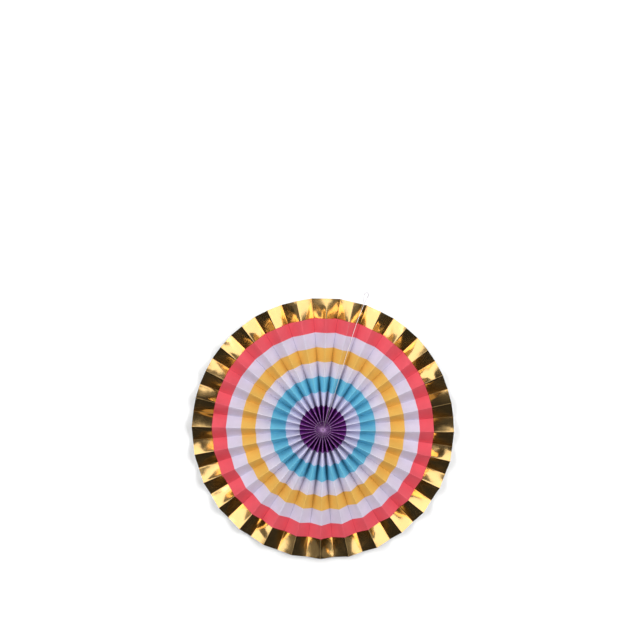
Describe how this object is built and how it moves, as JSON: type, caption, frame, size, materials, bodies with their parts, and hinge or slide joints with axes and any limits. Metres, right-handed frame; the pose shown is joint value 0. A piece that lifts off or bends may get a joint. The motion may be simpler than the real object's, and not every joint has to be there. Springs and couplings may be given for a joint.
{
  "type": "paper fan rosette",
  "caption": "Hanging party decoration: a pleated paper disc printed with coloured rings inside a metallic gold rim, gathered on a thread at the hub, with a thread and loop to hang it by",
  "frame": {"origin": "on the hub axis, in the surface that the disc lies on, which touches the lowest folds at the hub", "axes": "+Z is the hub axis and points out of the printed front; +Y is up in the picture and +X is to the right in the picture"},
  "size_m": [0.4, 0.4082, 0.0255],
  "materials": {
    "printed_paper": null,
    "double_sided_tape": null,
    "white_thread": null
  },
  "bodies": {
    "root": {"pleated_paper": "printed_paper", "seam_tape": "double_sided_tape", "binding_thread": "white_thread", "hub_knot": "white_thread", "hanging_thread": "white_thread", "end_knot": "white_thread", "hanging_loop": "white_thread"}
  },
  "joints": []
}
